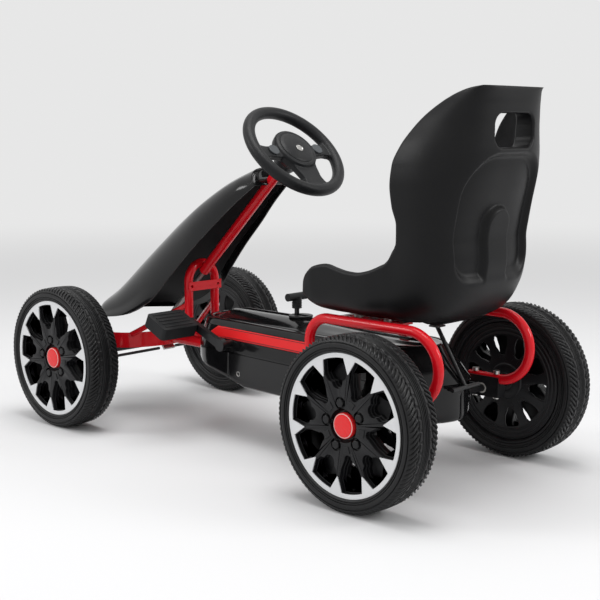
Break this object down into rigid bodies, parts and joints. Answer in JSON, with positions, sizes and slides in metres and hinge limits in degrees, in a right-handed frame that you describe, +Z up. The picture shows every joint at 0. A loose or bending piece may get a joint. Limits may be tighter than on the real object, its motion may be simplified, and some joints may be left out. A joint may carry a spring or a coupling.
{
  "type": "pedal go kart",
  "caption": "Child's four-wheeled pedal kart with bucket seat, chain drive, steered front wheels, nose shell and foam tyres.",
  "frame": {"origin": "on the ground, midway between the axles and midway between the wheels", "axes": "+Z up, -Y towards the front of the kart, +X towards the driver's left"},
  "size_m": [0.5638, 1.145, 0.716],
  "materials": {
    "frame_paint": "gloss",
    "black_paint": "gloss",
    "zinc_steel": "satin",
    "shell_gloss": "gloss",
    "stripe_red": "gloss",
    "satin_black": "satin",
    "seat_black": "satin",
    "rim_black": "gloss",
    "ring_silver": "satin",
    "cap_red": "gloss",
    "foam_tyre": "matte",
    "button_grey": "satin",
    "chain_steel": "satin",
    "bush_nylon": "satin"
  },
  "bodies": {
    "frame": {"main_spine": "frame_paint", "front_axle_beam": "black_paint", "front_yoke": "frame_paint", "steering_hoop": "frame_paint", "hoop_plate": "frame_paint", "column_tube": "frame_paint", "side_bars": "frame_paint", "front_cross_tube": "frame_paint", "rear_cross_tube": "frame_paint", "rear_axle_brackets": "black_paint", "bearings": "bush_nylon", "frame_bolts": "zinc_steel", "kingpin_bolts": "zinc_steel", "rear_stay": "black_paint", "fairing_left": "shell_gloss", "fairing_right": "shell_gloss", "fairing_top": "shell_gloss", "fairing_stripes": "stripe_red", "lever_base": "satin_black", "nose_shell": "shell_gloss", "chain": "chain_steel"},
    "seat": {"seat_shell": "seat_black", "seat_bolts": "zinc_steel"},
    "steering": {"steering_shaft": "zinc_steel", "steering_wheel": "satin_black", "hub_cover": "satin_black"},
    "wheel_button_left": {"button_left": "button_grey"},
    "wheel_button_right": {"button_right": "button_grey"},
    "knuckle_left": {"knuckle_left": "black_paint", "front_stub_nut_left": "zinc_steel"},
    "knuckle_right": {"knuckle_right": "black_paint", "front_stub_nut_right": "zinc_steel"},
    "tie_rod_left": {"tie_rod_left": "black_paint"},
    "tie_rod_right": {"tie_rod_right": "black_paint"},
    "front_left_wheel": {"front_left_tyre": "foam_tyre", "front_left_rim": "rim_black", "front_left_trim_ring": "ring_silver", "front_left_centre_cap": "cap_red"},
    "front_right_wheel": {"front_right_tyre": "foam_tyre", "front_right_rim": "rim_black", "front_right_trim_ring": "ring_silver", "front_right_centre_cap": "cap_red"},
    "rear_axle": {"rear_axle": "black_paint", "rear_axle_nuts": "zinc_steel", "driven_sprocket": "chain_steel", "rear_left_tyre": "foam_tyre", "rear_left_rim": "rim_black", "rear_left_trim_ring": "ring_silver", "rear_left_centre_cap": "cap_red"},
    "rear_right_wheel": {"rear_right_tyre": "foam_tyre", "rear_right_rim": "rim_black", "rear_right_trim_ring": "ring_silver", "rear_right_centre_cap": "cap_red"},
    "crank": {"crank": "black_paint", "chainring": "chain_steel"},
    "pedal_left": {"pedal_left": "satin_black"},
    "pedal_right": {"pedal_right": "satin_black"},
    "brake_lever": {"brake_lever": "black_paint", "lever_grip": "satin_black"},
    "brake_rod": {"brake_rod": "black_paint"}
  },
  "joints": [
    {"name": "steering_turn", "type": "hinge", "parent": "frame", "child": "steering", "pos_m": [0, 0.0437, 0.6006], "axis": [0, 0.7218, 0.6921], "range_deg": [-35, 35]},
    {"name": "button_left_press", "type": "slide", "parent": "steering", "child": "wheel_button_left", "axis": [0, -0.7218, -0.6921], "range_m": [0, 0.002], "stiffness_N_per_m": 400},
    {"name": "button_right_press", "type": "slide", "parent": "steering", "child": "wheel_button_right", "axis": [0, -0.7218, -0.6921], "range_m": [0, 0.002], "stiffness_N_per_m": 400},
    {"name": "knuckle_left_turn", "type": "hinge", "parent": "frame", "child": "knuckle_left", "pos_m": [0.186, -0.42, 0.1525], "axis": [0, 0, 1], "range_deg": [-28, 28]},
    {"name": "knuckle_right_turn", "type": "hinge", "parent": "frame", "child": "knuckle_right", "pos_m": [-0.186, -0.42, 0.1525], "axis": [0, 0, 1], "range_deg": [-28, 28]},
    {"name": "tie_rod_left_turn", "type": "hinge", "parent": "knuckle_left", "child": "tie_rod_left", "pos_m": [0.178, -0.368, 0.136], "axis": [0, 0, 1], "range_deg": [-28, 28]},
    {"name": "tie_rod_right_turn", "type": "hinge", "parent": "knuckle_right", "child": "tie_rod_right", "pos_m": [-0.178, -0.368, 0.136], "axis": [0, 0, 1], "range_deg": [-28, 28]},
    {"name": "front_left_spin", "type": "hinge", "parent": "knuckle_left", "child": "front_left_wheel", "pos_m": [0.245, -0.42, 0.1525], "axis": [1, 0, 0], "continuous": true},
    {"name": "front_right_spin", "type": "hinge", "parent": "knuckle_right", "child": "front_right_wheel", "pos_m": [-0.245, -0.42, 0.1525], "axis": [1, 0, 0], "continuous": true},
    {"name": "rear_axle_spin", "type": "hinge", "parent": "frame", "child": "rear_axle", "pos_m": [0, 0.42, 0.1525], "axis": [1, 0, 0], "continuous": true},
    {"name": "rear_right_spin", "type": "hinge", "parent": "rear_axle", "child": "rear_right_wheel", "pos_m": [-0.241, 0.42, 0.1525], "axis": [1, 0, 0], "continuous": true},
    {"name": "crank_spin", "type": "hinge", "parent": "frame", "child": "crank", "pos_m": [0, -0.058, 0.206], "axis": [1, 0, 0], "continuous": true},
    {"name": "pedal_left_spin", "type": "hinge", "parent": "crank", "child": "pedal_left", "pos_m": [0.165, -0.15072, 0.24346], "axis": [1, 0, 0], "continuous": true},
    {"name": "pedal_right_spin", "type": "hinge", "parent": "crank", "child": "pedal_right", "pos_m": [-0.165, 0.03472, 0.16854], "axis": [1, 0, 0], "continuous": true},
    {"name": "brake_lever_pull", "type": "hinge", "parent": "frame", "child": "brake_lever", "pos_m": [0, 0.051, 0.222], "axis": [-1, 0, 0], "range_deg": [0, 25]},
    {"name": "brake_rod_slide", "type": "slide", "parent": "frame", "child": "brake_rod", "axis": [0, -1, 0], "range_m": [0, 0.0088]},
    {"name": "seat_adjust", "type": "slide", "parent": "frame", "child": "seat", "axis": [0, 1, 0], "range_m": [-0.02, 0.02]}
  ],
  "couplings": [
    {"joint": "knuckle_left_turn", "follows": "steering_turn", "ratio": 0.8},
    {"joint": "knuckle_right_turn", "follows": "steering_turn", "ratio": 0.8},
    {"joint": "tie_rod_left_turn", "follows": "steering_turn", "ratio": -0.8},
    {"joint": "tie_rod_right_turn", "follows": "steering_turn", "ratio": -0.8},
    {"joint": "crank_spin", "follows": "rear_axle_spin", "ratio": 0.63636},
    {"joint": "brake_rod_slide", "follows": "brake_lever_pull", "m_per_rad": 0.02}
  ]
}
